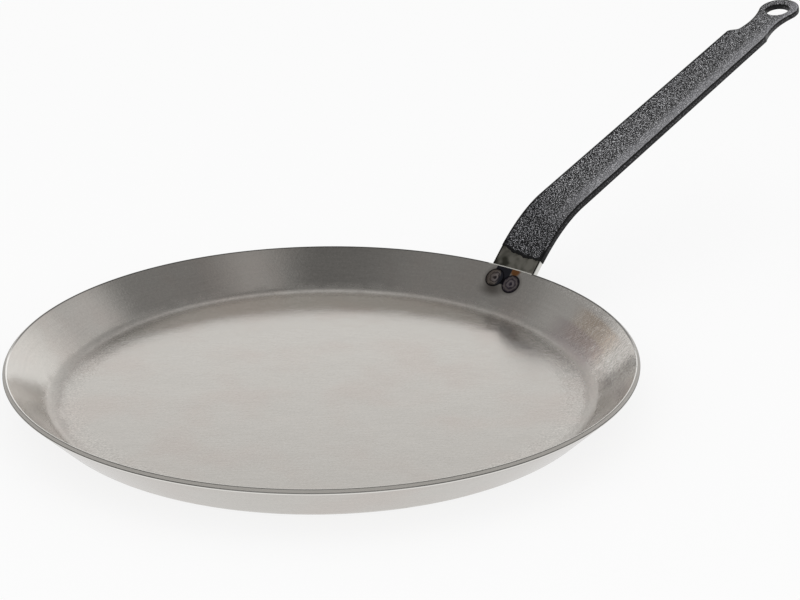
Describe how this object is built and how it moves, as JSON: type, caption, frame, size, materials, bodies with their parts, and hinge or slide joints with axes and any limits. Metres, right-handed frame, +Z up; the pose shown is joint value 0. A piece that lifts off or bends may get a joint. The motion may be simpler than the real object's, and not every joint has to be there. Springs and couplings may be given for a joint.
{
  "type": "crepe pan",
  "caption": "Shallow flared carbon steel crepe pan with a long coated strip handle, spot-welded on and ending in a round hanging eye.",
  "frame": {"origin": "centre of the flat underside that rests on the hob", "axes": "+X from the centre out along the handle, +Z up out of the dish"},
  "size_m": [0.5807, 0.2996, 0.1203],
  "materials": {
    "raw_steel": "satin",
    "strip_steel": "satin",
    "baked_epoxy": "textured satin",
    "weld_steel": "satin"
  },
  "bodies": {
    "root": {"pan_body": "raw_steel", "handle_strip": "strip_steel", "handle_coating": "baked_epoxy", "spot_weld_left": "weld_steel", "spot_weld_right": "weld_steel"}
  },
  "joints": []
}
